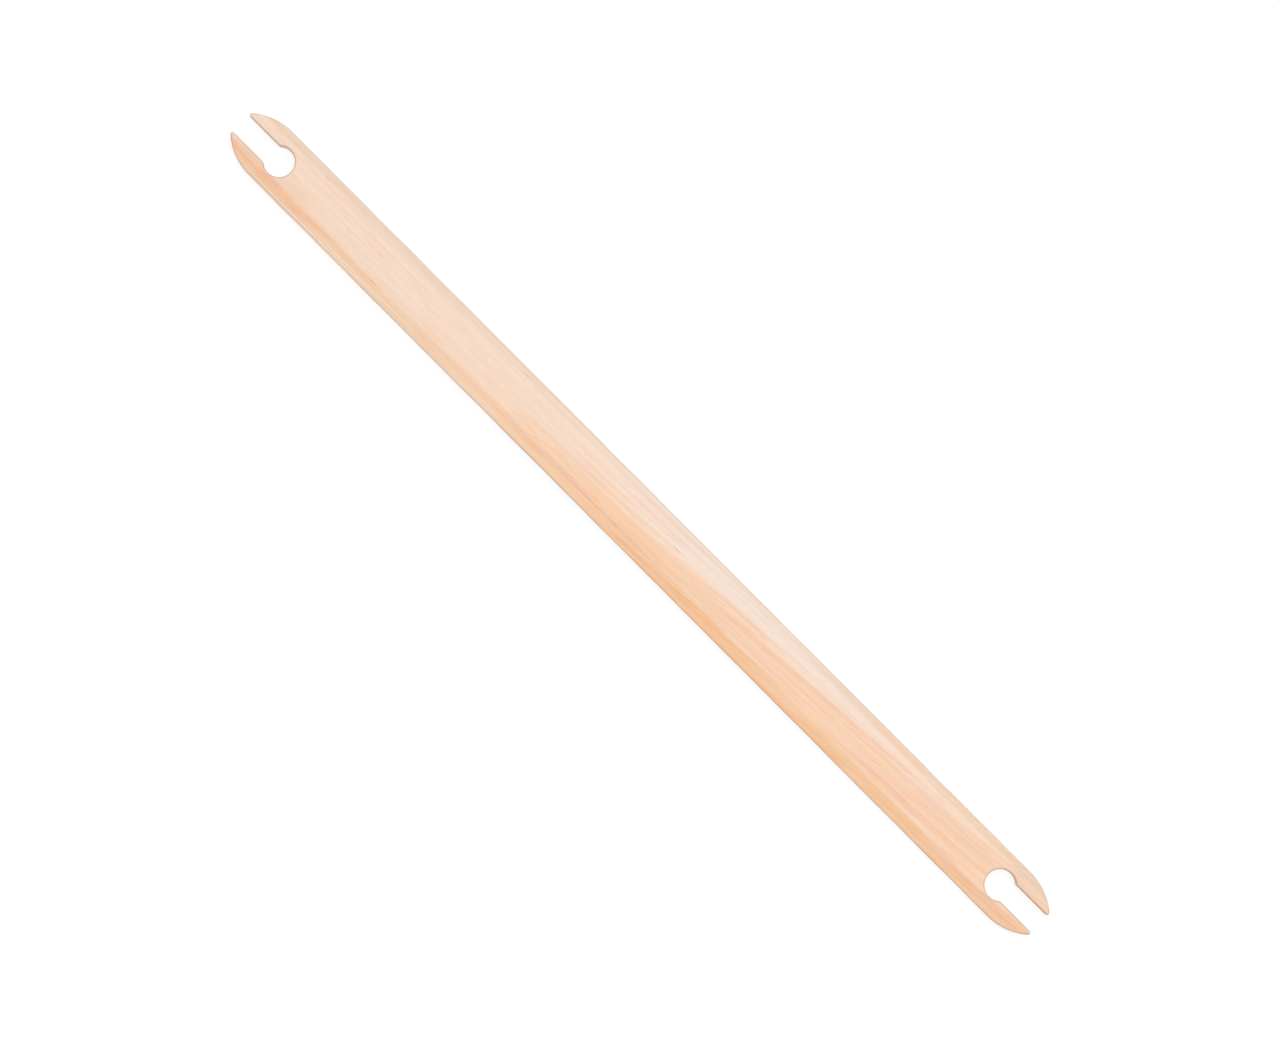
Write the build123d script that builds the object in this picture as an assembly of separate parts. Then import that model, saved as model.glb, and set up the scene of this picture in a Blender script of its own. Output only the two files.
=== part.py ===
from build123d import *
import os
from math import sqrt

# A stick shuttle: one flat hardwood blade that carries the weft through the shed of a loom.
# The yarn is wound along the blade, in at the slot of one keyhole and out at the other.
# X runs along the blade, Y across it and Z up. The origin is the middle of the underside.
# All sizes are in millimetres.

# The blade
overall_length = 600.0
blade_width = 33.0
blade_thickness = 5.0
edge_thickness = 2.8
wide_bevel = 7.4
narrow_bevel = 4.7
ridge_radius = 8.0

# The horns, two at each end
horn_radius = 33.0
tip_radius = 1.2

# The keyhole between them: a round eye, and a straight slot that opens it to the end
slot_width = 12.2
eye_diameter = 16.8
eye_setback = 29.0
shoulder_radius = 1.2

# The sanded rounding where the outline's walls meet the faces
arris_radius = 1.0

# What follows from those sizes
half_length = overall_length / 2
half_width = blade_width / 2
half_slot = slot_width / 2
eye_radius = eye_diameter / 2
eye_x = half_length - eye_setback
slot_end_x = eye_x + sqrt(eye_radius**2 - half_slot**2)
bevel_drop = (blade_thickness - edge_thickness) / 2
arris_fillet = min(arris_radius, 0.45 * edge_thickness, 0.9 * tip_radius)

# A horn's outer edge is an arc that leaves the long edge without a corner.
# The arc starts where it makes the rounded tip, and not the sharp one, reach the overall length.
horn_centre_y = half_width - horn_radius
tip_centre_y = half_slot + tip_radius
tip_centre_x = half_length - tip_radius
horn_x = tip_centre_x - sqrt((horn_radius - tip_radius)**2 - (tip_centre_y - horn_centre_y)**2)
sharp_tip_x = horn_x + sqrt(horn_radius**2 - (half_slot - horn_centre_y)**2)


def corners_at(corners, distance):
    """The corners of a plan that lie this far from the middle of the blade, at either end."""
    return [corner for corner in corners if abs(abs(corner.X) - distance) < 0.001]


def blade_plan():
    """The outline from above: one quarter is drawn, and mirrored to the other three."""
    with BuildSketch() as plan:
        with BuildLine():
            Line((0, half_width), (horn_x, half_width))
            RadiusArc((horn_x, half_width), (sharp_tip_x, half_slot), horn_radius)
            Line((sharp_tip_x, half_slot), (slot_end_x, half_slot))
            ThreePointArc((slot_end_x, half_slot), (eye_x, eye_radius), (eye_x - eye_radius, 0))
            mirror(about=Plane.XZ)
            mirror(about=Plane.YZ)
        make_face()
        fillet(corners_at(plan.vertices(), sharp_tip_x), tip_radius)
        fillet(corners_at(plan.vertices(), slot_end_x), shoulder_radius)
    return plan.sketch


def blade_section():
    """The section across the blade: two flat faces, sloped off towards both long edges."""
    wide_ridge_y = wide_bevel - half_width
    narrow_ridge_y = half_width - narrow_bevel
    with BuildSketch(Plane.YZ.offset(-half_length)) as section:
        with BuildLine():
            lower_half = Polyline(
                (-half_width, blade_thickness / 2),
                (-half_width, bevel_drop),
                (wide_ridge_y, 0),
                (narrow_ridge_y, 0),
                (half_width, bevel_drop),
                (half_width, blade_thickness / 2),
            )
            mirror(lower_half, about=Plane.XZ.offset(-blade_thickness / 2))
        make_face()
        ridges = [corner for corner in section.vertices() if abs(corner.X) < half_width - 0.001]
        fillet(ridges, ridge_radius)
    return section.sketch


def arrises(blade):
    """The edges where a wall of the outline meets a face or a bevel."""
    walls = blade.faces().filter_by(lambda face: abs(face.normal_at().Z) < 0.5)
    return walls.edges().filter_by(Axis.Z, reverse=True)


def make_blade():
    """The bevelled strip, cut to the outline, with the sharp edges sanded round."""
    strip = extrude(blade_section(), amount=overall_length)
    blank = extrude(blade_plan(), amount=blade_thickness)
    blade = strip & blank
    return fillet(arrises(blade), arris_fillet)


os.makedirs("parts", exist_ok=True)
shuttle_blade = make_blade()
export_step(shuttle_blade, "parts/shuttle_blade.step")
size = shuttle_blade.bounding_box().size
print(f"shuttle_blade: {size.X:.2f} x {size.Y:.2f} x {size.Z:.2f} mm")
print(f"volume: {shuttle_blade.volume / 1000:.2f} cubic centimetres")
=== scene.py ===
# %% [markdown]
# # A stick shuttle, sawn from one pale board
#
# A stick shuttle is the simplest tool on a loom: a flat blade of hardwood that yarn is wound along,
# so that it can be passed through the opened warp. There is only one piece to make here. What
# makes it look real is the shape of its edges and the figure of the wood, so this lesson spends
# its steps on those two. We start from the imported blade, which sets every outer size.

import math

import bmesh
import bpy
from mathutils import Matrix, Vector, noise


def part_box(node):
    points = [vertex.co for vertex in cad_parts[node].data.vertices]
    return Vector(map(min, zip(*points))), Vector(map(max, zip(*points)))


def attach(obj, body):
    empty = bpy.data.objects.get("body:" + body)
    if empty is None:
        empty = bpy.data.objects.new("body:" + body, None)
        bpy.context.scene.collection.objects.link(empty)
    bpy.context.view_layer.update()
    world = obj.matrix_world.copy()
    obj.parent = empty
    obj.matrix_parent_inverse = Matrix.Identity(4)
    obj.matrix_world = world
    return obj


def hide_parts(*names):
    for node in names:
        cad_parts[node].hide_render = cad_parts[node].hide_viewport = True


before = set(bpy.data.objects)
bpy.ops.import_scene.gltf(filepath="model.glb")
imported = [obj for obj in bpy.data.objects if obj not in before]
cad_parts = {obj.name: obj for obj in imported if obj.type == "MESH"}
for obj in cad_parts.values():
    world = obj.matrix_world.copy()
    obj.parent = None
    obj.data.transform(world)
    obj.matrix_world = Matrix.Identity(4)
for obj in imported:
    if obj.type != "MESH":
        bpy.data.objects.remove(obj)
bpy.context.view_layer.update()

MM = 0.001
blade_low, blade_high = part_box("shuttle_blade")
half_length = blade_high.x
half_width = blade_high.y
thickness = blade_high.z
packed_size = (blade_high - blade_low) / MM
print(f"blade {packed_size.x:.0f} x {packed_size.y:.0f} x {packed_size.z:.0f} mm")

# %% [markdown]
# ## The sizes that the box doesn't tell
#
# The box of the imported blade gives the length, width and thickness. A maker also needs to know how
# far the faces slope off, how wide the slot is and where the eye is drilled. These are the
# same sizes as the solid's, written in metres like everything else in Blender. Only the ridge
# where a flat meets a bevel is described in another way, by half the width of its softened strip.

# %% Name the maker's sizes
edge_thickness = 2.8 * MM
wide_bevel = 7.4 * MM
narrow_bevel = 4.7 * MM
horn_radius = 33 * MM
tip_radius = 1.2 * MM
half_slot = 6.1 * MM
eye_radius = 8.4 * MM
eye_setback = 29 * MM
eye_x = half_length - eye_setback
shoulder_radius = 1.2 * MM
arris_radius = 1.0 * MM
ridge_half_width = 0.6 * MM
print(f"slot {half_slot * 2 / MM:.1f} mm, eye {eye_radius * 2 / MM:.1f} mm")

# %% [markdown]
# ## Drawing the outline
#
# On the real blade the outline is sawn round a template: a straight edge, a long arc to the horn's
# tip, a small round tip, the side of the slot, and the eye. We could type in a list of points, but
# then no size could be changed. Instead one corner is pulled along the path, and for each arc it is
# spun round the arc's centre, just as a pair of compasses would draw it.

# %% Two ways to carry an outline on
def pull_to(shape, corner, x, y):
    """Pulls a new corner out of the last one, which leaves a straight edge between them."""
    pulled = bmesh.ops.extrude_vert_indiv(shape, verts=[corner])["verts"][0]
    pulled.co = (x, y, 0)
    return pulled


def spin_round(shape, corner, centre, turn, steps):
    """Spins the last corner round a centre, which leaves an arc. Anticlockwise turns are positive."""
    arc = bmesh.ops.spin(
        shape,
        geom=[corner],
        cent=(*centre, 0),
        axis=(0, 0, 1),
        angle=turn,
        steps=steps,
        use_duplicate=False,
    )
    return [item for item in arc["geom_last"] if isinstance(item, bmesh.types.BMVert)][0]


# %% Work out where the arcs meet
horn_y = half_width - horn_radius
tip_x = half_length - tip_radius
tip_y = half_slot + tip_radius
horn_x = tip_x - math.sqrt((horn_radius - tip_radius) ** 2 - (tip_y - horn_y) ** 2)
tip_angle = math.atan2(tip_y - horn_y, tip_x - horn_x)
shoulder_y = half_slot + shoulder_radius
shoulder_x = eye_x + math.sqrt((eye_radius + shoulder_radius) ** 2 - shoulder_y**2)
shoulder_angle = math.atan2(shoulder_y, shoulder_x - eye_x)
print(f"horn starts {(half_length - horn_x) / MM:.1f} mm from the end")

# %% [markdown]
# One quarter is enough: the other three are mirrored. The whole outline is then a single closed
# loop, because the keyholes are open to the ends, and it is filled with one face.

# %% Draw one quarter, mirror it and fill it
QUARTER_TURN = math.radians(90)
HALF_TURN = math.radians(180)
HORN_STEPS = 26
TIP_STEPS = 10
SHOULDER_STEPS = 6
EYE_STEPS = 30
SAME_PLACE = MM / 1000

blade = bmesh.new()
corner = blade.verts.new((0, half_width, 0))
corner = pull_to(blade, corner, horn_x, half_width)
corner = spin_round(blade, corner, (horn_x, horn_y), tip_angle - QUARTER_TURN, HORN_STEPS)
corner = spin_round(blade, corner, (tip_x, tip_y), -QUARTER_TURN - tip_angle, TIP_STEPS)
corner = pull_to(blade, corner, shoulder_x, half_slot)
shoulder_turn = shoulder_angle - QUARTER_TURN
corner = spin_round(blade, corner, (shoulder_x, shoulder_y), shoulder_turn, SHOULDER_STEPS)
corner = spin_round(blade, corner, (eye_x, 0), HALF_TURN - shoulder_angle, EYE_STEPS)
for axis in ("Y", "X"):
    drawn = blade.verts[:] + blade.edges[:]
    bmesh.ops.mirror(blade, geom=drawn, matrix=Matrix.Identity(4), merge_dist=SAME_PLACE, axis=axis)
bmesh.ops.remove_doubles(blade, verts=blade.verts[:], dist=SAME_PLACE)
bmesh.ops.contextual_create(blade, geom=blade.edges[:])
for face in blade.faces:
    face.normal_update()
    if face.normal.z < 0:
        face.normal_flip()
print(f"outline of {len(blade.edges)} edges, filled with {len(blade.faces)} face")

# %% [markdown]
# ## Sanding the edges round
#
# Yarn would catch on a sharp edge, so the whole outline is sanded round, inside the keyholes too.
# `bevel` could round a finished solid, but where the rounding of the eye meets the ridge of a
# bevelled face it folds over itself. So the rounding comes first, on the flat outline: each pass
# insets the face a little and raises it a little, and the passes follow a quarter of a circle.

# %% Round the outline, pass by pass
PASSES = 6

pass_turn = QUARTER_TURN / PASSES
for number in range(PASSES):
    low_turn = number * pass_turn
    high_turn = (number + 1) * pass_turn
    bmesh.ops.inset_region(
        blade,
        faces=[max(blade.faces, key=lambda face: face.calc_area())],
        thickness=arris_radius * (math.cos(low_turn) - math.cos(high_turn)),
        depth=arris_radius * (math.sin(high_turn) - math.sin(low_turn)),
        use_even_offset=True,
        use_boundary=True,
    )
print(f"{PASSES} passes leave {len(blade.faces)} faces")

# %% [markdown]
# ## Scoring
#
# The next steps plane and sand the face, which means moving its corners, and so far it only has
# corners along its outline. It is scored across every four millimetres and along a few lines. Three
# lines lie close together where each ridge will be, so that the ridge stays narrow. A cut that
# passes very close to a corner goes through it instead, so that no sliver of a face is left.

# %% Score the face across and along
CROSS_CUTS = 150
LONG_CUTS_IN_MM = (-12.6, -4, 0, 4, 8, 14)
VERY_CLOSE = MM / 20
lower_ridge = wide_bevel - half_width
upper_ridge = half_width - narrow_bevel


def score(shape, point, normal):
    """Divides the faces along a plane, and takes nothing off."""
    everything = shape.verts[:] + shape.edges[:] + shape.faces[:]
    bmesh.ops.bisect_plane(shape, geom=everything, dist=VERY_CLOSE, plane_co=point, plane_no=normal)


for number in range(1, CROSS_CUTS):
    score(blade, (-half_length + 2 * half_length * number / CROSS_CUTS, 0, 0), (1, 0, 0))
for ridge in (lower_ridge, upper_ridge):
    for offset in (-ridge_half_width, 0, ridge_half_width):
        score(blade, (0, ridge + offset, 0), (0, 1, 0))
for y in LONG_CUTS_IN_MM:
    score(blade, (0, y * MM, 0), (0, 1, 0))
print(f"{len(blade.faces)} faces after scoring")

# %% [markdown]
# ## From one face to a blade
#
# The scored face is the upper half of the skin. Mirrored downwards it is the lower half too, and
# a bridge between the two outlines makes the walls. A merge distance of -1 keeps the halves apart
# until then. The result is a board of one thickness all over, with its edges sanded round.

# %% Mirror the face and bridge the walls
NO_MERGE = -1


def cubic_centimetres(shape):
    """The volume of a closed shape."""
    return shape.calc_volume() / MM**3 / 1000


bmesh.ops.translate(blade, verts=blade.verts[:], vec=(0, 0, thickness / 2 - arris_radius))
upper_half = blade.verts[:] + blade.edges[:] + blade.faces[:]
bmesh.ops.mirror(blade, geom=upper_half, matrix=Matrix.Identity(4), merge_dist=NO_MERGE, axis="Z")
rims = [edge for edge in blade.edges if edge.is_boundary]
bmesh.ops.bridge_loops(blade, edges=rims)
bmesh.ops.recalc_face_normals(blade, faces=blade.faces[:])
print(f"board of {cubic_centimetres(blade):.1f} cubic centimetres")

# %% [markdown]
# ## Planing the bevels
#
# The real board is now run over a plane at a slant, which slopes both faces off towards the long
# edges, so that the blade slips between the threads. Here each corner is moved towards the middle
# of the thickness, by as much as the plane takes off there. Close to the ridge that follows a curve
# and not two straight lines, because a ridge fresh from the plane is softened with sandpaper.

# %% Plane both faces
bevel_drop = (thickness - edge_thickness) / 2


def planed_off(y):
    """How much the plane took off here: nothing on the flat, and more and more beyond a ridge."""
    for side, ridge, bevel in ((-1, lower_ridge, wide_bevel), (1, upper_ridge, narrow_bevel)):
        slope = bevel_drop / bevel
        beyond = side * (y - ridge)
        if beyond > ridge_half_width:
            return slope * beyond
        if beyond > -ridge_half_width:
            return slope * (beyond + ridge_half_width) ** 2 / (4 * ridge_half_width)
    return 0


for corner in blade.verts:
    corner.co.z -= math.copysign(planed_off(corner.co.y), corner.co.z)
print(f"blade of {cubic_centimetres(blade):.1f} cubic centimetres")

# %% [markdown]
# ## Hand work
#
# No sanded blade is perfectly straight. Slow noise takes a few hundredths of a millimetre off the
# faces here and there, and lets the long edges wander by a quarter. It is small, but it bends the light
# along the blade the way real wood does. Sandpaper only takes wood away, so nothing is moved
# outwards and the blade stays inside its packed size. Each face and each edge reads a row of the
# noise of its own, so that they don't wander together. What comes off an edge dies out with the cube
# of Y, so the keyholes keep their shape. Last, the blade is set down on its underside.

# %% Sand it by hand and set it down
FACE_SANDING = 0.04 * MM
EDGE_SANDING = 0.25 * MM
FACE_WAVE_LENGTH = 25 * MM
FACE_WAVE_WIDTH = 12 * MM
EDGE_WAVE_LENGTH = 22 * MM
FACE_ROW = 1
EDGE_ROW = 5
NOISE_SWING = 0.8


def sanded_share(place):
    """How much is sanded off here, from 0 to 1, as slow noise."""
    return min(max(0.5 + NOISE_SWING * noise.noise(place), 0), 1)


for corner in blade.verts:
    x, y, z = corner.co
    face_place = (x / FACE_WAVE_LENGTH, y / FACE_WAVE_WIDTH, math.copysign(FACE_ROW, z))
    edge_place = (x / EDGE_WAVE_LENGTH, math.copysign(EDGE_ROW, y), 0)
    off_face = FACE_SANDING * sanded_share(face_place)
    off_edge = EDGE_SANDING * sanded_share(edge_place)
    corner.co.z = z - math.copysign(off_face, z) + thickness / 2
    corner.co.y = y - off_edge * (y / half_width) ** 3
open_edges = sum(not edge.is_manifold for edge in blade.edges)
print(f"{open_edges} open edges, {cubic_centimetres(blade):.1f} cubic centimetres")

# %% [markdown]
# The finished mesh becomes one object, which rides on a body called root, and the packed blade is
# hidden, so that it stands in its place. It is shaded smooth, and a Weighted Normal modifier keeps the
# large flat faces flat while the light still rolls round the edges.

# %% Make the blade an object
for face in blade.faces:
    face.smooth = True
blade_mesh = bpy.data.meshes.new("bevelled_blade")
blade.to_mesh(blade_mesh)
blade.free()
bevelled_blade = bpy.data.objects.new("bevelled_blade", blade_mesh)
bpy.context.scene.collection.objects.link(bevelled_blade)
even_shading = bevelled_blade.modifiers.new("even_shading", "WEIGHTED_NORMAL")
even_shading.keep_sharp = True
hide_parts("shuttle_blade")
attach(bevelled_blade, "root")
print(f"{bevelled_blade.name}: {len(blade_mesh.polygons)} faces")

# %% [markdown]
# ## Tools for the wood
#
# The look of wood is built from many small nodes. A few helpers keep that readable. The first adds
# a node and fills its sockets with values or wires, and the second does sums. The third starts a
# group of nodes, which is made once and can then be placed wherever its effect is wanted.

# %% Helpers for shader nodes
def add_node(tree, kind, sockets, **settings):
    """Adds a node, makes its settings, and gives its sockets plain values or wires."""
    node = tree.nodes.new(kind)
    for name, value in settings.items():
        setattr(node, name, value)
    for name, value in sockets.items():
        if isinstance(value, bpy.types.NodeSocket):
            tree.links.new(value, node.inputs[name])
        else:
            node.inputs[name].default_value = value
    return node


def sum_of(tree, operation, *values):
    """The result of a Math node."""
    return add_node(tree, "ShaderNodeMath", dict(enumerate(values)), operation=operation).outputs[0]


def new_group(name, inputs, outputs):
    """An empty shader group with named sockets, and the sockets at its two ends."""
    group = bpy.data.node_groups.new(name, "ShaderNodeTree")
    for label, kind in inputs:
        group.interface.new_socket(label, in_out="INPUT", socket_type="NodeSocket" + kind)
    for label, kind in outputs:
        group.interface.new_socket(label, in_out="OUTPUT", socket_type="NodeSocket" + kind)
    given = group.nodes.new("NodeGroupInput").outputs
    result = group.nodes.new("NodeGroupOutput").inputs
    return group, given, result


# %% [markdown]
# ## How the grain runs
#
# A board is a slice through a tree, so its lines are not painted on the surface: they are where the
# growth layers come through it. On this blade they run straight along the left half and then climb
# by almost four degrees to the right. They also kink where a bevel starts, because the bevel cuts
# the same layers at another slant. All of that follows from one idea: instead of Y, the streaks
# are given a place across the layers, which drifts with X and leans with Z. A slow noise makes
# the layers waver on top of that. Lengths are in millimetres, and noise counts waves per millimetre.

# %% The run of the grain
CLIMB_STARTS = -40
CLIMB_SOFTNESS = 90
GRAIN_SLOPE = 0.063
LAYER_LEAN = 1.75
WAVER = 3.5
WAVER_WAVES = (0.009, 0.05, 0.05)


def drawn_noise(tree, place, waves, detail):
    """Noise that is drawn out, with its own number of waves along each axis."""
    drawn = {0: place, 1: waves}
    drawn = add_node(tree, "ShaderNodeVectorMath", drawn, operation="MULTIPLY").outputs[0]
    texture = {"Vector": drawn, "Scale": 1.0, "Detail": detail}
    return add_node(tree, "ShaderNodeTexNoise", texture).outputs[0]


grain_run, given, result = new_group("grain_run", [("Board", "Vector")], [("Grain", "Vector")])
x, y, z = add_node(grain_run, "ShaderNodeSeparateXYZ", {0: given["Board"]}).outputs
beyond = sum_of(grain_run, "SUBTRACT", x, CLIMB_STARTS)
climb = sum_of(grain_run, "SMOOTH_MAX", beyond, 0, CLIMB_SOFTNESS)
waver = drawn_noise(grain_run, given["Board"], WAVER_WAVES, 3.0)
across = sum_of(grain_run, "MULTIPLY_ADD", climb, -GRAIN_SLOPE, y)
across = sum_of(grain_run, "MULTIPLY_ADD", z, -LAYER_LEAN, across)
across = sum_of(grain_run, "MULTIPLY_ADD", waver, WAVER, across)
leant = add_node(grain_run, "ShaderNodeCombineXYZ", {0: x, 1: across, 2: z})
grain_run.links.new(leant.outputs[0], result["Grain"])
print(f"group {grain_run.name}: {len(grain_run.nodes)} nodes")

# %% [markdown]
# ## Streaks of every width
#
# Broad bands, thin lines and single fibres differ only in size, so one group makes them all: noise
# that is long with the grain and narrow across it. It is placed many times with its own length,
# width and seed, which is why it takes those as named inputs. Noise seldom comes near 0 or 1, so
# the part of its range that it does use is stretched over the whole.

# %% Streaks
STREAK_INPUTS = [("Grain", "Vector"), ("Length", "Float"), ("Width", "Float"), ("Seed", "Float")]
CHANGE_WITH_DEPTH = 0.15
NOISE_LOW = 0.30
NOISE_HIGH = 0.70


def stretch(tree, value, low, high):
    """Turns the range from low to high into a soft step from 0 to 1."""
    sockets = {"Value": value, "From Min": low, "From Max": high}
    return add_node(tree, "ShaderNodeMapRange", sockets, interpolation_type="SMOOTHSTEP").outputs[0]


streaks, given, result = new_group("streaks", STREAK_INPUTS, [("Streak", "Float")])
x, y, z = add_node(streaks, "ShaderNodeSeparateXYZ", {0: given["Grain"]}).outputs
x = sum_of(streaks, "DIVIDE", x, given["Length"])
y = sum_of(streaks, "DIVIDE", y, given["Width"])
z = sum_of(streaks, "MULTIPLY_ADD", z, CHANGE_WITH_DEPTH, given["Seed"])
squeezed = add_node(streaks, "ShaderNodeCombineXYZ", {0: x, 1: y, 2: z}).outputs[0]
texture = {"Vector": squeezed, "Scale": 1.0, "Detail": 2.0, "Roughness": 0.55}
layers = add_node(streaks, "ShaderNodeTexNoise", texture).outputs[0]
streaks.links.new(stretch(streaks, layers, NOISE_LOW, NOISE_HIGH), result["Streak"])
print(f"group {streaks.name}: {len(streaks.nodes)} nodes")

# %% [markdown]
# ## Pores
#
# This kind of wood has no large pores, but close up its surface is full of tiny open tubes. Along
# the board they are cut lengthwise and show as fine dashes. Where the saw crossed them, inside
# the eye and at the horn's tip, they are dots. One noise gives both, because it is stretched
# along X only.

# %% Pores
PORE_WAVES = (0.35, 6.0, 6.0)
PORE_STARTS = 0.56
PORE_IS_OPEN = 0.70

pores, given, result = new_group("pores", [("Board", "Vector")], [("Pore", "Float")])
tubes = drawn_noise(pores, given["Board"], PORE_WAVES, 0.0)
pores.links.new(stretch(pores, tubes, PORE_STARTS, PORE_IS_OPEN), result["Pore"])
print(f"group {pores.name}: {len(pores.nodes)} nodes")

# %% [markdown]
# ## Marks in one place
#
# Noise decides where most streaks fall, but the eye remembers the few strong ones, so those are
# placed one by one. A mark is a long ellipse, which may climb with the grain. It fades out from well
# inside its edge to well outside, and whatever streaks are handed to it make it ragged. The
# same group makes the short brown flecks, where an insect once fed under the bark and the tree
# healed over.

# %% Marks
MARK_INPUTS = [
    ("Board", "Vector"),
    ("Centre", "Vector"),
    ("Reach", "Vector"),
    ("Slope", "Float"),
    ("Ragged", "Float"),
]
RAGGEDNESS = 0.7
MARK_ENDS = 1.4
MARK_IS_FULL = 0.6

mark, given, result = new_group("mark", MARK_INPUTS, [("Mark", "Float")])
offset = {0: given["Board"], 1: given["Centre"]}
offset = add_node(mark, "ShaderNodeVectorMath", offset, operation="SUBTRACT").outputs[0]
x, y, z = add_node(mark, "ShaderNodeSeparateXYZ", {0: offset}).outputs
y = sum_of(mark, "SUBTRACT", y, sum_of(mark, "MULTIPLY", x, given["Slope"]))
level = add_node(mark, "ShaderNodeCombineXYZ", {0: x, 1: y, 2: z}).outputs[0]
scaled = {0: level, 1: given["Reach"]}
scaled = add_node(mark, "ShaderNodeVectorMath", scaled, operation="DIVIDE").outputs[0]
distance = add_node(mark, "ShaderNodeVectorMath", {0: scaled}, operation="LENGTH").outputs["Value"]
ragged = sum_of(mark, "SUBTRACT", given["Ragged"], 0.5)
distance = sum_of(mark, "MULTIPLY_ADD", ragged, RAGGEDNESS, distance)
mark.links.new(stretch(mark, distance, MARK_ENDS, MARK_IS_FULL), result["Mark"])
print(f"group {mark.name}: {len(mark.nodes)} nodes")

# %% [markdown]
# ## Where the board changes colour
#
# The board was sawn near the border between sapwood and heartwood. Most of it is a warm cream. A
# deeper orange comes in along the lower edge and climbs to the right. The border between the two
# is drawn as a curve of Y over X, and the streaks shift it, so that it never reads as a line.

# %% The border between cream and orange
BORDER = ((-300, -12), (-150, -11), (-60, -1), (40, 4), (140, 7), (300, 9.5))
half_length_mm = half_length / MM
half_width_mm = half_width / MM


def orange_side(tree, x, y):
    """How far below the border a place lies, in millimetres."""
    along = {"Value": x, "From Min": -half_length_mm, "From Max": half_length_mm}
    along = add_node(tree, "ShaderNodeMapRange", along).outputs[0]
    border = add_node(tree, "ShaderNodeFloatCurve", {"Value": along})
    points = border.mapping.curves[0].points
    spots = [((at_x / half_length_mm + 1) / 2, (at_y / half_width_mm + 1) / 2) for at_x, at_y in BORDER]
    points[0].location = spots[0]
    points[-1].location = spots[-1]
    for spot in spots[1:-1]:
        points.new(*spot)
    border.mapping.update()
    height = {"Value": border.outputs[0], "To Min": -half_width_mm, "To Max": half_width_mm}
    height = add_node(tree, "ShaderNodeMapRange", height).outputs[0]
    return sum_of(tree, "SUBTRACT", height, y)


print(f"border drawn through {len(BORDER)} places")

# %% [markdown]
# ## The colours and the marks of this board
#
# Colours are written as a paint program shows them, from 0 to 255, and turned into the light that a
# shader takes. Each strong mark has a colour and the share of it that shows, then its centre, which
# is measured from the middle of the blade, its reach from that centre, and its slope. Both places are
# in millimetres along the blade and across it. A later mark lies over an earlier one.

# %% The colours
def tone(red, green, blue):
    """Turns a colour from 0 to 255 into light values, along the curve of an sRGB screen."""
    shares = [value / 255 for value in (red, green, blue)]
    light = [s / 12.92 if s <= 0.04045 else ((s + 0.055) / 1.055) ** 2.4 for s in shares]
    return (*light, 1)


CREAM = tone(252, 223, 201)
WHITE_WOOD = tone(251, 231, 218)
ORANGE_WOOD = tone(254, 211, 175)
RED_LINE = tone(246, 188, 150)
DARK_LINE = tone(229, 198, 175)
PALE_LINE = tone(255, 236, 216)
FLECK_BROWN = tone(205, 152, 118)
VIVID_ORANGE = tone(253, 186, 120)
MOTTLED_RED = tone(251, 190, 145)
DEEP_HEART = tone(251, 198, 150)
WARM_EDGE = tone(251, 211, 180)
print(f"cream in light values: {[round(value, 3) for value in CREAM[:3]]}")

# %% The marks
STRONG_MARKS = {
    "white sapwood": (WHITE_WOOD, 0.85, (80, 10.0), (80, 6.2), 0.034),
    "white edge": (WHITE_WOOD, 0.85, (68, 14.8), (70, 2.2), 0.0),
    # Painted highlight: a thin pale line just inside the upper ridge.
    "painted highlight by the upper ridge": (WHITE_WOOD, 0.25, (-90, 10.3), (230, 1.3), 0.0),
    "warm edge": (WARM_EDGE, 0.85, (225, 14.0), (95, 2.1), 0.0),
    "warm left edge": (WARM_EDGE, 0.55, (-240, 13.4), (100, 1.5), 0.0),
    "mottled red": (MOTTLED_RED, 0.50, (-250, -11.0), (54, 3.5), 0.0),
    "red beside the eye": (RED_LINE, 0.25, (-252, -4.6), (14, 3.6), 0.0),
    "red fleck line": (RED_LINE, 0.30, (-62, -2.0), (24, 1.1), 0.0),
    "mottled red line": (RED_LINE, 0.35, (-218, -11.9), (42, 0.9), 0.0),
    "red corner": (RED_LINE, 0.42, (-279, -9.4), (17, 3.4), 0.0),
    "orange flat": (ORANGE_WOOD, 0.35, (-70, -6.4), (110, 3.2), 0.0),
    "pale lower edge": (CREAM, 0.90, (-178, -15.2), (85, 2.2), 0.0),
    "deep heart start": (DEEP_HEART, 0.35, (0, -7.4), (66, 2.4), 0.0),
    "dark ridge line": (RED_LINE, 0.70, (-20, -9.9), (62, 0.6), 0.0),
    "second ridge line": (RED_LINE, 0.50, (-44, -8.4), (26, 0.5), 0.0),
    "deep heart": (DEEP_HEART, 0.68, (130, -12.9), (115, 3.3), 0.0),
    "vivid edge": (VIVID_ORANGE, 0.75, (33, -11.5), (40, 1.3), 0.08),
    "vivid far edge": (VIVID_ORANGE, 0.18, (100, -12.8), (50, 2.4), 0.0),
    "red streak": (RED_LINE, 0.50, (134, 3.2), (82, 1.2), 0.073),
    "second streak": (RED_LINE, 0.50, (218, 1.6), (50, 0.9), 0.067),
    "third streak": (RED_LINE, 0.45, (195, -5.4), (46, 1.6), 0.05),
    "red far ridge": (RED_LINE, 0.35, (268, -12.2), (30, 1.6), 0.03),
    "pale far streak": (CREAM, 0.45, (236, 6.4), (50, 4.2), 0.05),
    "pale band": (PALE_LINE, 0.35, (50, -9.5), (45, 0.8), 0.060),
    "pale end streak": (PALE_LINE, 0.40, (262, -11.6), (34, 0.35), 0.075),
    "red end streak": (RED_LINE, 0.60, (262, -10.6), (42, 1.0), 0.070),
    "orange lower horn": (RED_LINE, 0.25, (284, -8.6), (14, 2.8), 0.0),
    "pale horn edge": (CREAM, 0.45, (283, -14.4), (16, 1.8), 0.0),
    "dull upper horn": (DARK_LINE, 0.28, (284, 10.0), (16, 4.5), 0.0),
}
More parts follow.
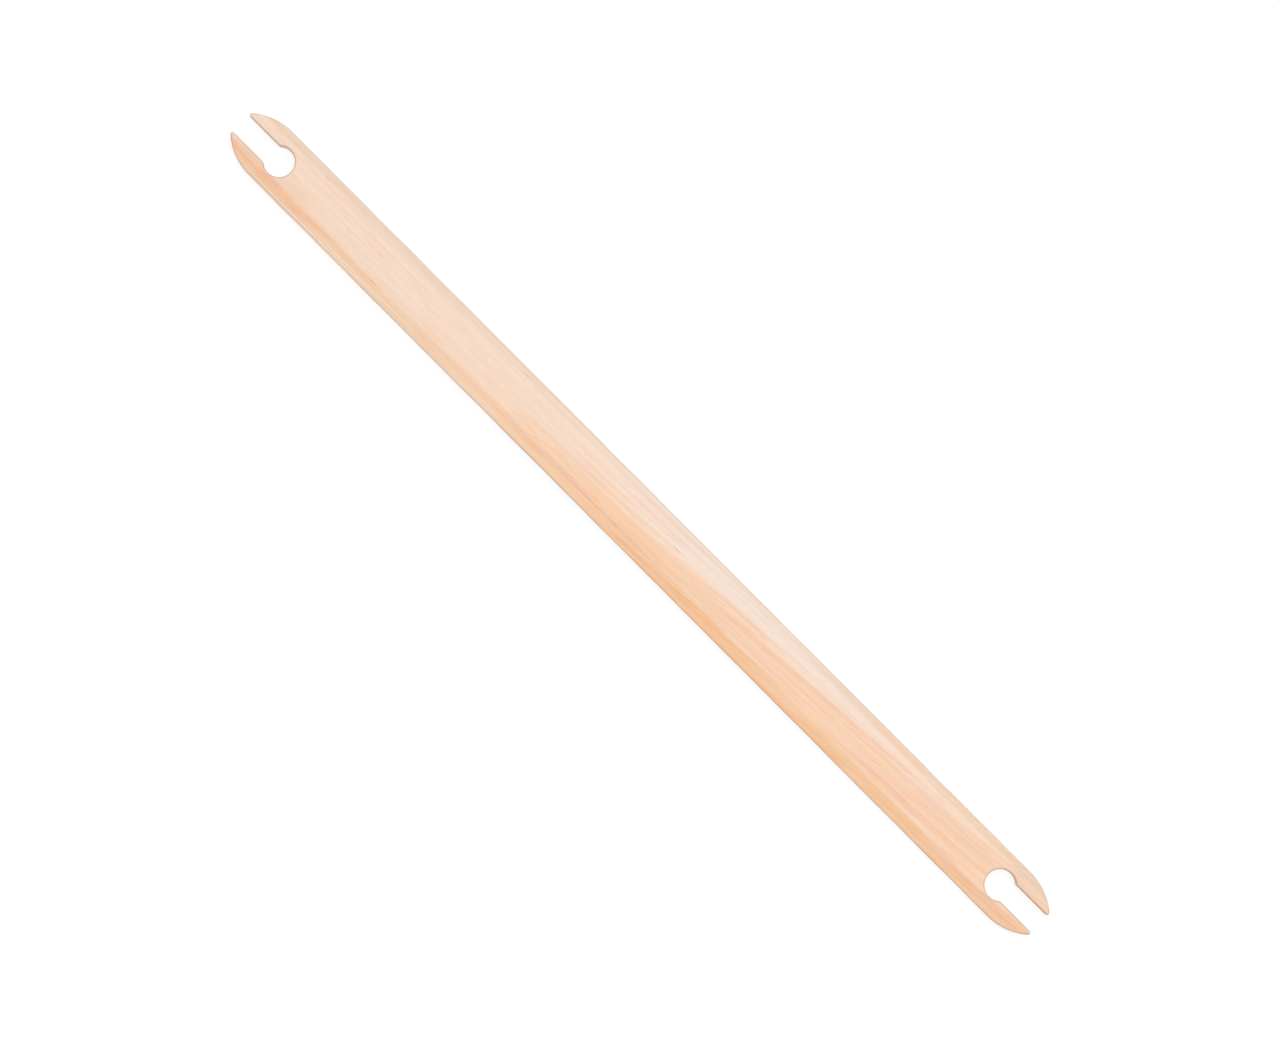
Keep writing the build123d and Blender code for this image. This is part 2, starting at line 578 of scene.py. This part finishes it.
FLECKS = (
    (-282, 11.5), (-246, 12.0), (-197, 3.0), (-218, 0.0), (-190, -10.0),
    (-97, 13.0), (-69, -7.2), (-8, -9.8), (25, 4.0), (90, 3.5),
)
print(f"{len(STRONG_MARKS)} strong marks and {len(FLECKS)} flecks")

# %% [markdown]
# ## The board
#
# Now the layers come together. Faces and walls are cut from one board, so one group colours them
# all, and it puts out a height too, for the grain that a finger can feel. First come the noises that
# it needs, each with its length and width in millimetres, and the two zones of colour. The orange is
# weaker towards the left end, where the board has less of the heart in it.

# %% The streaks and the two zones
BOARD_OUTPUTS = [("Color", "Color"), ("Height", "Float")]
ORANGE_STARTS = -1.0
ORANGE_IS_FULL = 13.0


def use_group(tree, group, **sockets):
    """Places a group in a tree, and gives its outputs."""
    return add_node(tree, "ShaderNodeGroup", sockets, node_tree=group).outputs


def blend(tree, share, first, second, blend_type="MIX"):
    """Blends two colours: all of the first at a share of 0."""
    sockets = {0: share, 6: first, 7: second}
    node = add_node(tree, "ShaderNodeMix", sockets, data_type="RGBA", blend_type=blend_type)
    return node.outputs[2]


board, given, result = new_group("board", [("Place", "Vector")], BOARD_OUTPUTS)
in_mm = {0: given["Place"], "Scale": 1 / MM}
in_mm = add_node(board, "ShaderNodeVectorMath", in_mm, operation="SCALE").outputs[0]
grain = use_group(board, grain_run, Board=in_mm)["Grain"]
bands = use_group(board, streaks, Grain=grain, Length=240.0, Width=8.0, Seed=1.0)["Streak"]
middling = use_group(board, streaks, Grain=grain, Length=100.0, Width=2.6, Seed=4.0)["Streak"]
lines = use_group(board, streaks, Grain=grain, Length=80.0, Width=0.9, Seed=9.0)["Streak"]
fibres = use_group(board, streaks, Grain=grain, Length=11.0, Width=0.4, Seed=17.0)["Streak"]
clouds = use_group(board, streaks, Grain=grain, Length=16.0, Width=3.0, Seed=23.0)["Streak"]
pore = use_group(board, pores, Board=in_mm)["Pore"]

x, y = add_node(board, "ShaderNodeSeparateXYZ", {0: in_mm}).outputs[:2]
below = orange_side(board, x, y)
for layer, shift in ((bands, 6.0), (middling, 3.0), (lines, 1.0)):
    below = sum_of(board, "MULTIPLY_ADD", layer, shift, below)
orange = stretch(board, below, ORANGE_STARTS, ORANGE_IS_FULL)
strength = {"Value": x, "From Min": -140.0, "From Max": 20.0, "To Min": 0.45, "To Max": 1.0}
strength = add_node(board, "ShaderNodeMapRange", strength).outputs[0]
orange = sum_of(board, "MULTIPLY", orange, strength)
colour = blend(board, orange, CREAM, ORANGE_WOOD)
print(f"zones and noises: {len(board.nodes)} nodes")

# %% [markdown]
# The strong marks lie over the two zones. Their centres are on the upper face and their reach goes
# down to the underside, so that they fade with the depth of the board. Clouds of noise thin them here
# and there, so that none of them has one flat tone.

# %% Lay on the strong marks
CLOUDINESS = 0.7
THINNEST = 0.65
face_height = thickness / MM


def lay_mark(colour, mark_colour, strength, centre, reach, slope, ragged):
    """Lays one mark over the colour so far."""
    centre = (*centre, face_height)
    place = {"Board": in_mm, "Centre": centre, "Reach": reach, "Slope": slope, "Ragged": ragged}
    spot = use_group(board, mark, **place)["Mark"]
    return blend(board, sum_of(board, "MULTIPLY", spot, strength), colour, mark_colour)


patchy = sum_of(board, "MULTIPLY_ADD", clouds, CLOUDINESS, THINNEST)
for mark_colour, share, centre, reach, slope in STRONG_MARKS.values():
    strength = sum_of(board, "MULTIPLY", patchy, share)
    colour = lay_mark(colour, mark_colour, strength, centre, (*reach, face_height), slope, middling)
print(f"with {len(STRONG_MARKS)} strong marks: {len(board.nodes)} nodes")

# %% [markdown]
# Over the marks come the streaks, lines, fibres, clouds and pores. Each row of the table says which
# noise it reads, at which values it starts to show and shows in full, how much of it shows on
# cream wood, how much more on orange wood, and its colour. A full value of 0 picks out the low
# side of the noise, so that one noise gives both dark and pale streaks.

# %% Lay on the fine figure
for layer, start, full, share, extra, layer_colour in (
    (middling, 0.50, 1.0, 0.07, 0.24, RED_LINE),
    (middling, 0.45, 0.0, 0.18, 0.08, PALE_LINE),
    (lines, 0.50, 1.0, 0.06, 0.09, RED_LINE),
    (lines, 0.45, 1.0, 0.15, 0.03, DARK_LINE),
    (lines, 0.45, 0.0, 0.14, 0.04, PALE_LINE),
    (fibres, 0.50, 1.0, 0.21, 0.00, DARK_LINE),
    (fibres, 0.50, 0.0, 0.08, 0.00, PALE_LINE),
    (clouds, 0.50, 1.0, 0.10, 0.04, RED_LINE),
    (pore, 0.0, 1.0, 0.20, 0.00, DARK_LINE),
):
    amount = sum_of(board, "MULTIPLY_ADD", orange, extra, share)
    amount = sum_of(board, "MULTIPLY", stretch(board, layer, start, full), amount)
    colour = blend(board, amount, colour, layer_colour)
print(f"with the fine figure: {len(board.nodes)} nodes")

# %% [markdown]
# Last come the flecks, which take their lengths and widths in turn from two short lists, so that
# no two neighbours are alike. The height is finished here too: lines and fibres stand up a little
# and pores are sunk.

# %% Lay on the flecks and work out the height
FLECK_LENGTHS = (2.6, 2.2, 1.8, 1.4)
FLECK_WIDTHS = (0.26, 0.31, 0.36)
FLECK_DEPTH = 1.2
FLECK_SHARE = 0.37
LINE_HEIGHT = 0.3
FIBRE_HEIGHT = 0.5

for number, fleck in enumerate(FLECKS):
    length = FLECK_LENGTHS[number % len(FLECK_LENGTHS)]
    width = FLECK_WIDTHS[number % len(FLECK_WIDTHS)]
    colour = lay_mark(colour, FLECK_BROWN, FLECK_SHARE, fleck, (length, width, FLECK_DEPTH), 0.0, fibres)
board.links.new(colour, result["Color"])

height = sum_of(board, "MULTIPLY", fibres, FIBRE_HEIGHT)
height = sum_of(board, "MULTIPLY_ADD", lines, LINE_HEIGHT, height)
height = sum_of(board, "SUBTRACT", height, pore)
board.links.new(height, result["Height"])
print(f"group {board.name}: {len(board.nodes)} nodes")

# %% [markdown]
# ## The oiled finish
#
# The flats and bevels were planed, sanded fine and oiled. The wide lower bevel is painted a shade
# warmer and darker: partly the wood's own deeper tone, and partly painted shade where it slopes away
# from the light. The narrow upper bevel and the rounded arrises are painted a little darker and duller,
# which is painted shade where they turn away from the flat. The walls of the outline were sawn and
# sanded by hand, and they are a touch darker, partly their own tone and partly painted shade. Where a
# wall crosses the fibres, as in the eye and at the tips of the horns, end grain soaks up the oil and is
# dark and dull, and the edge of each keyhole carries painted shade where it turns down into the keyhole.
# Which kind of surface a place is can be read from its normal and its place on the blade, so one
# material does it all, and no seam shows where two finishes meet.

# %% Read where a place lies
LOWER_STEP_STARTS = lower_ridge + 0.5 * MM
LOWER_STEP_ENDS = lower_ridge - 1.2 * MM
UPPER_STEP_STARTS = upper_ridge - 0.8 * MM
UPPER_STEP_ENDS = upper_ridge + 0.8 * MM
KEYHOLE_OUTSIDE = 1.25 * eye_radius
KEYHOLE_INSIDE = 1.15 * eye_radius

oiled_board = bpy.data.materials.new("oiled_board")
oiled_board.use_nodes = True
tree = oiled_board.node_tree
shader = tree.nodes["Principled BSDF"]
coordinates = tree.nodes.new("ShaderNodeTexCoord").outputs
wood = use_group(tree, board, Place=coordinates["Object"])

x, y = add_node(tree, "ShaderNodeSeparateXYZ", {0: coordinates["Object"]}).outputs[:2]
# These two masks carry painted shade on the bevels, which slope away from the flat; on the lower bevel
# it is mixed with the wood's own warmer tone.
lower_bevel_tone_and_shade = stretch(tree, y, LOWER_STEP_STARTS, LOWER_STEP_ENDS)
upper_bevel_shade = stretch(tree, y, UPPER_STEP_STARTS, UPPER_STEP_ENDS)
from_middle = sum_of(tree, "ABSOLUTE", x)
near_end = stretch(tree, from_middle, eye_x - KEYHOLE_OUTSIDE, eye_x - KEYHOLE_INSIDE)
from_axis = sum_of(tree, "ABSOLUTE", y)
near_axis = stretch(tree, from_axis, KEYHOLE_OUTSIDE, KEYHOLE_INSIDE)
print(f"the keyhole tone reaches {KEYHOLE_OUTSIDE / MM:.1f} mm from the middle of the eye")

# %% [markdown]
# A normal that points straight up or down has an upright share of 1, and a wall's is 0. Each
# range below says at which share a kind of surface begins and at which it is reached in full. The
# wall inside a keyhole takes only a quarter of the rim's painted shade.

# %% Read how a place faces
ARRIS_SHADE_RANGE = (0.97, 0.88)
WALL_RANGE = (0.85, 0.30)
RIM_RANGE = (0.995, 0.90)
CROSSING_RANGE = (0.20, 1.00)
OFF_THE_WALL = -0.75

facing = add_node(tree, "ShaderNodeSeparateXYZ", {0: coordinates["Normal"]}).outputs
upright = sum_of(tree, "ABSOLUTE", facing[2])
# Painted shade on the rounded arrises, where the edge turns away from the light.
arris_shade = stretch(tree, upright, *ARRIS_SHADE_RANGE)
wall = stretch(tree, upright, *WALL_RANGE)
# Painted shade on the rounded edge of each keyhole, where it turns down into the opening.
rim = stretch(tree, upright, *RIM_RANGE)
rim = sum_of(tree, "MULTIPLY_ADD", wall, OFF_THE_WALL, rim)
keyhole = sum_of(tree, "MULTIPLY", rim, sum_of(tree, "MULTIPLY", near_end, near_axis))
crossing = stretch(tree, sum_of(tree, "ABSOLUTE", facing[0]), *CROSSING_RANGE)
end_grain = sum_of(tree, "MULTIPLY", crossing, wall)
print(f"{len(tree.nodes)} nodes tell the surfaces apart")

# %% [markdown]
# Each tone is multiplied with the wood below it, so 255 leaves a colour as it is and less
# takes some of it away. The tones of the upper bevel, the arrises and the keyhole edges are painted
# shade, and those of the lower bevel and the walls are partly the wood's own tone and partly painted
# shade. Only end grain covers the wood with a colour of its own.

# %% Lay on the tones of the finish and the painted shade
# Lower bevel: partly the wood's own warmer tone, partly painted shade where it slopes away from the
# light.
LOWER_BEVEL_TONE_AND_SHADE = tone(255, 248, 238)
# Painted shade: the narrow upper bevel a little darker and duller, where it slopes away from the flat.
UPPER_BEVEL_SHADE = tone(244, 245, 243)
# Painted shade: a thin darker line on the rounded arrises.
ARRIS_SHADE = tone(243, 248, 255)
# The walls a touch darker: partly their own sawn tone, partly painted shade.
WALL_TONE_AND_SHADE = tone(255, 253, 251)
# Painted shade: the edges of the keyholes darker.
KEYHOLE_RIM_SHADE = tone(234, 229, 225)
END_GRAIN = tone(226, 186, 154)
END_GRAIN_SHARE = 0.6

colour = wood["Color"]
for share, surface_tone in (
    (lower_bevel_tone_and_shade, LOWER_BEVEL_TONE_AND_SHADE),
    (upper_bevel_shade, UPPER_BEVEL_SHADE),
    (arris_shade, ARRIS_SHADE),
    (wall, WALL_TONE_AND_SHADE),
    (keyhole, KEYHOLE_RIM_SHADE),
):
    colour = blend(tree, share, colour, surface_tone, "MULTIPLY")
colour = blend(tree, sum_of(tree, "MULTIPLY", end_grain, END_GRAIN_SHARE), colour, END_GRAIN)
tree.links.new(colour, shader.inputs["Base Color"])
print(f"{len(tree.nodes)} nodes colour the blade")

# %% [markdown]
# Oiled wood has a soft shine. It is a little rougher where the grain stands up, and more so on the
# walls, which were only sanded by hand. The saw left fine marks along them, about seven to the
# millimetre. They are counted per metre here, because the material itself reads metres. A Bump node
# makes them and the grain catch the light.

# %% Give it its shine and its feel
OILED_ROUGHNESS = 0.44
GRAIN_ROUGHNESS = 0.05
WALL_ROUGHNESS = 0.14
SAW_WAVES = (1100.0, 1100.0, 7000.0)
SAW_MARK_HEIGHT = 2.0

roughness = sum_of(tree, "MULTIPLY_ADD", wood["Height"], GRAIN_ROUGHNESS, OILED_ROUGHNESS)
roughness = sum_of(tree, "MULTIPLY_ADD", wall, WALL_ROUGHNESS, roughness)
tree.links.new(roughness, shader.inputs["Roughness"])

saw_marks = drawn_noise(tree, coordinates["Object"], SAW_WAVES, 1.0)
saw_marks = sum_of(tree, "MULTIPLY", saw_marks, wall)
height = sum_of(tree, "MULTIPLY_ADD", saw_marks, SAW_MARK_HEIGHT, wood["Height"])
feel = add_node(tree, "ShaderNodeBump", {"Height": height, "Strength": 0.35, "Distance": 0.02 * MM})
tree.links.new(feel.outputs[0], shader.inputs["Normal"])
blade_mesh.materials.append(oiled_board)
print(f"material {oiled_board.name}: {len(tree.nodes)} nodes")

# %% [markdown]
# ## Floor, light and camera
#
# The blade lies on a white table, under a large soft light that hangs above it on the side of the
# picture's upper right, with plenty of light from all round. The strengths are chosen so that
# together they light a level white face to a value of 1, and a colour renders as it was written.

# %% The white table
TABLE_REACH = 6
TABLE_GAP = 0.02 * MM

table_mesh = bpy.data.meshes.new("white_table")
sheet = bmesh.new()
bmesh.ops.create_grid(sheet, x_segments=1, y_segments=1, size=TABLE_REACH)
bmesh.ops.translate(sheet, verts=sheet.verts[:], vec=(0, 0, -TABLE_GAP))
sheet.to_mesh(table_mesh)
sheet.free()
white_table = bpy.data.objects.new("white_table", table_mesh)
bpy.context.scene.collection.objects.link(white_table)
print(f"white table, {TABLE_GAP / MM:.2f} mm below the blade")

# %% [markdown]
# A white table under this much light would show a clear shadow. In the photograph it is almost
# bleached out, so what the camera sees is mostly a plain white glow with a fifth of the real light
# on top. The light that the table throws back at the blade stays that of honest white paint. A
# Light Path node tells the two kinds of rays apart.

# %% Paint the table
TABLE_PAINT = 0.8
SHADOW_SHARE = 0.2
GLOW = 0.84


def background_rays(tree):
    """1 for a ray that shows the background, by itself or in a reflection, and 0 for one that lights."""
    ray = add_node(tree, "ShaderNodeLightPath", {}).outputs
    mirrored = sum_of(tree, "MAXIMUM", ray["Is Glossy Ray"], ray["Is Transmission Ray"])
    return sum_of(tree, "MAXIMUM", ray["Is Camera Ray"], mirrored)


table_white = bpy.data.materials.new("table_white")
table_white.use_nodes = True
tree = table_white.node_tree
tree.nodes.remove(tree.nodes["Principled BSDF"])
seen = background_rays(tree)
paint = sum_of(tree, "MULTIPLY_ADD", seen, SHADOW_SHARE - TABLE_PAINT, TABLE_PAINT)
matt = add_node(tree, "ShaderNodeBsdfDiffuse", {"Color": paint})
glow = add_node(tree, "ShaderNodeEmission", {"Strength": sum_of(tree, "MULTIPLY", seen, GLOW)})
both = add_node(tree, "ShaderNodeAddShader", {0: matt.outputs[0], 1: glow.outputs[0]})
tree.links.new(both.outputs[0], tree.nodes["Material Output"].inputs["Surface"])
table_mesh.materials.append(table_white)
print(f"the camera sees the table at {GLOW + SHADOW_SHARE:.2f} of white")

# %% [markdown]
# Seven tenths of the light come from all round, and the soft light overhead gives the rest. Its watts
# are worked out from its distance and its slant, because light thins out with the square of the
# distance and a slanting beam spreads over more of the table. Past the table's edge, and in
# reflections, the room is plain white.

# %% The light all round
ROOM_SHARE = 0.7

room = bpy.data.worlds.new("room")
bpy.context.scene.world = room
room.use_nodes = True
tree = room.node_tree
strength = sum_of(tree, "MULTIPLY_ADD", background_rays(tree), 1 - ROOM_SHARE, ROOM_SHARE)
tree.links.new(strength, tree.nodes["Background"].inputs["Strength"])
tree.nodes["Background"].inputs["Color"].default_value = (1, 1, 1, 1)
print(f"{ROOM_SHARE:.0%} of the light comes from all round")

# %% The soft light overhead
LIGHT_WIDTH = 1.4
light_place = Vector((0.10, 0.95, 1.65))

soft_light_data = bpy.data.lights.new("soft_light", "AREA")
soft_light_data.size = LIGHT_WIDTH
level_share = light_place.normalized().z
soft_light_data.energy = (1 - ROOM_SHARE) * math.pi**2 * light_place.length_squared / level_share
soft_light = bpy.data.objects.new("soft_light", soft_light_data)
soft_light.location = light_place
soft_light.rotation_euler = light_place.to_track_quat("Z", "Y").to_euler()
bpy.context.scene.collection.objects.link(soft_light)
print(f"soft light of {soft_light_data.energy:.1f} watts")

# %% [markdown]
# The photograph was taken from almost straight above with a long lens. The blade lies across the
# picture at 45 degrees. The camera leans five degrees towards the lower left and a little towards the
# right end, so that a thin line of each wall that faces it can be seen.

# %% The camera
PICTURE_WIDTH = 1280
PIXELS_PER_METRE = 1883.8
camera_distance = 1.6
lean_down_left = math.radians(5)
lean_to_right_end = math.radians(1.54)
blade_slope = math.radians(45.065)
aim = Vector((1.95 * MM, -0.35 * MM, thickness / 2))

towards_camera = Vector((math.sin(lean_to_right_end), -math.sin(lean_down_left), 0))
towards_camera.z = math.sqrt(1 - towards_camera.length_squared)
picture_up = Vector((-math.sin(blade_slope), math.cos(blade_slope), 0))
right = picture_up.cross(towards_camera).normalized()
up = towards_camera.cross(right)
camera_data = bpy.data.cameras.new("camera")
camera_data.sensor_width = 36
camera_data.lens = camera_data.sensor_width * camera_distance * PIXELS_PER_METRE / PICTURE_WIDTH
camera = bpy.data.objects.new("camera", camera_data)
turned = Matrix((right, up, towards_camera)).transposed().to_4x4()
camera.matrix_world = Matrix.Translation(aim + towards_camera * camera_distance) @ turned
bpy.context.scene.collection.objects.link(camera)
bpy.context.scene.camera = camera
bpy.context.scene.view_settings.view_transform = "Standard"
print(f"lens of {camera_data.lens:.1f} mm")
